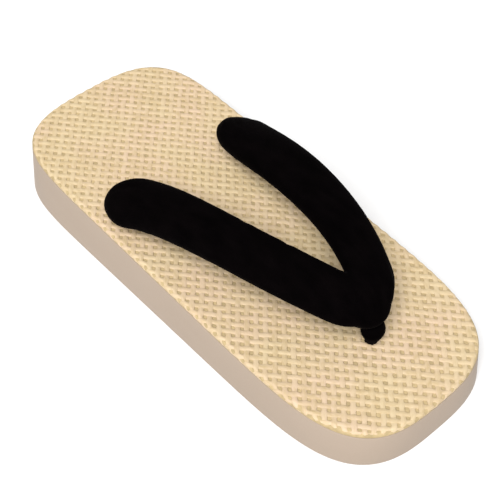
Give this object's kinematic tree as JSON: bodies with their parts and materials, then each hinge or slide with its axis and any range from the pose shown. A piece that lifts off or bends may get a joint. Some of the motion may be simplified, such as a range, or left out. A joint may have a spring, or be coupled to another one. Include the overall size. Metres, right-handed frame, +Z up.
{
  "type": "geta sandal",
  "caption": "Flat-soled geta sandal: an inclined block with rounded corners, a woven straw mat on top, and a padded V-shaped thong strap of black velvet.",
  "frame": {"origin": "on the floor under the middle of the sole", "axes": "+X to the toe, +Y to the wearer's left, +Z up"},
  "size_m": [0.2597, 0.1062, 0.0598],
  "materials": {
    "block": "smooth satin foam",
    "mat": "woven straw, matt",
    "velvet": "black velvet"
  },
  "bodies": {
    "root": {"base": "block", "mat": "mat", "strap": "velvet", "toe_thong": "velvet"}
  },
  "joints": []
}
